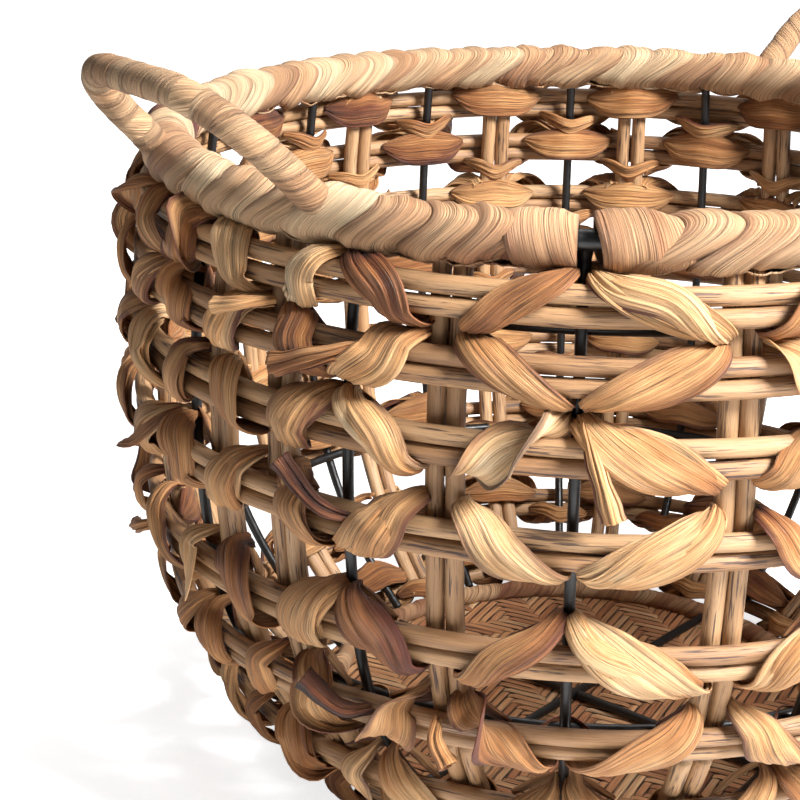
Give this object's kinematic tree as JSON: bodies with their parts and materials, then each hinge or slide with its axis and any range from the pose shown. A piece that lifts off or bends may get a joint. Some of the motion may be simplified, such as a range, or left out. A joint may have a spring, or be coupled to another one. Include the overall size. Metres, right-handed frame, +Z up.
{
  "type": "woven wicker basket",
  "caption": "Round open-weave basket on a black wire frame, rattan rods bound with leaf strands, a wrapped rim, two upright loop handles and a woven floor.",
  "frame": {"origin": "middle of the floor panel's underside", "axes": "+Z up through the open mouth, -X towards the first handle"},
  "size_m": [0.4292, 0.3932, 0.3064],
  "materials": {
    "black_steel": "black gloss paint on steel rod",
    "rattan": "peeled rattan core, honey tan with fine dark streaks, satin",
    "leaf_strand": "dried folded leaf, tan to reddish brown, fibrous, low sheen",
    "rim_leaf": "dried broad leaf strip, beige to tan, fibrous, low sheen",
    "handle_leaf": "close-wound narrow dried leaf strip, tan, smooth",
    "floor_strip": "flat woven leaf strip, mid brown, matt"
  },
  "bodies": {
    "root": {"base_bar_cross": "black_steel", "base_bar_long": "black_steel", "base_panel": "floor_strip", "base_ring": "black_steel", "front_bar": "black_steel", "handle_core_left": "black_steel", "handle_core_right": "black_steel", "handle_wrap_left": "handle_leaf", "handle_wrap_right": "handle_leaf", "leaf_binding_1": "leaf_strand", "leaf_binding_2": "leaf_strand", "leaf_binding_3": "leaf_strand", "leaf_binding_4": "leaf_strand", "leaf_binding_5": "leaf_strand", "leaf_binding_6": "leaf_strand", "leaf_binding_7": "leaf_strand", "leaf_binding_8": "leaf_strand", "lower_ring": "black_steel", "rattan_stake_01": "rattan", "rattan_stake_02": "rattan", "rattan_stake_03": "rattan", "rattan_stake_04": "rattan", "rattan_stake_05": "rattan", "rattan_stake_06": "rattan", "rattan_stake_07": "rattan", "rattan_stake_08": "rattan", "rattan_stake_09": "rattan", "rattan_stake_10": "rattan", "rattan_stake_11": "rattan", "rattan_stake_12": "rattan", "rattan_stake_13": "rattan", "rattan_stake_14": "rattan", "rattan_stake_15": "rattan", "rim_wrap": "rim_leaf", "rod_row_1": "rattan", "rod_row_2": "rattan", "rod_row_3": "rattan", "rod_row_4": "rattan", "rod_row_5": "rattan", "rod_row_6": "rattan", "rod_row_7": "rattan", "rod_row_8": "rattan", "top_ring": "black_steel", "wire_stake_01": "black_steel", "wire_stake_02": "black_steel", "wire_stake_03": "black_steel", "wire_stake_04": "black_steel", "wire_stake_05": "black_steel", "wire_stake_06": "black_steel", "wire_stake_07": "black_steel", "wire_stake_08": "black_steel", "wire_stake_09": "black_steel", "wire_stake_10": "black_steel", "wire_stake_11": "black_steel", "wire_stake_12": "black_steel", "wire_stake_13": "black_steel", "wire_stake_14": "black_steel"}
  },
  "joints": []
}
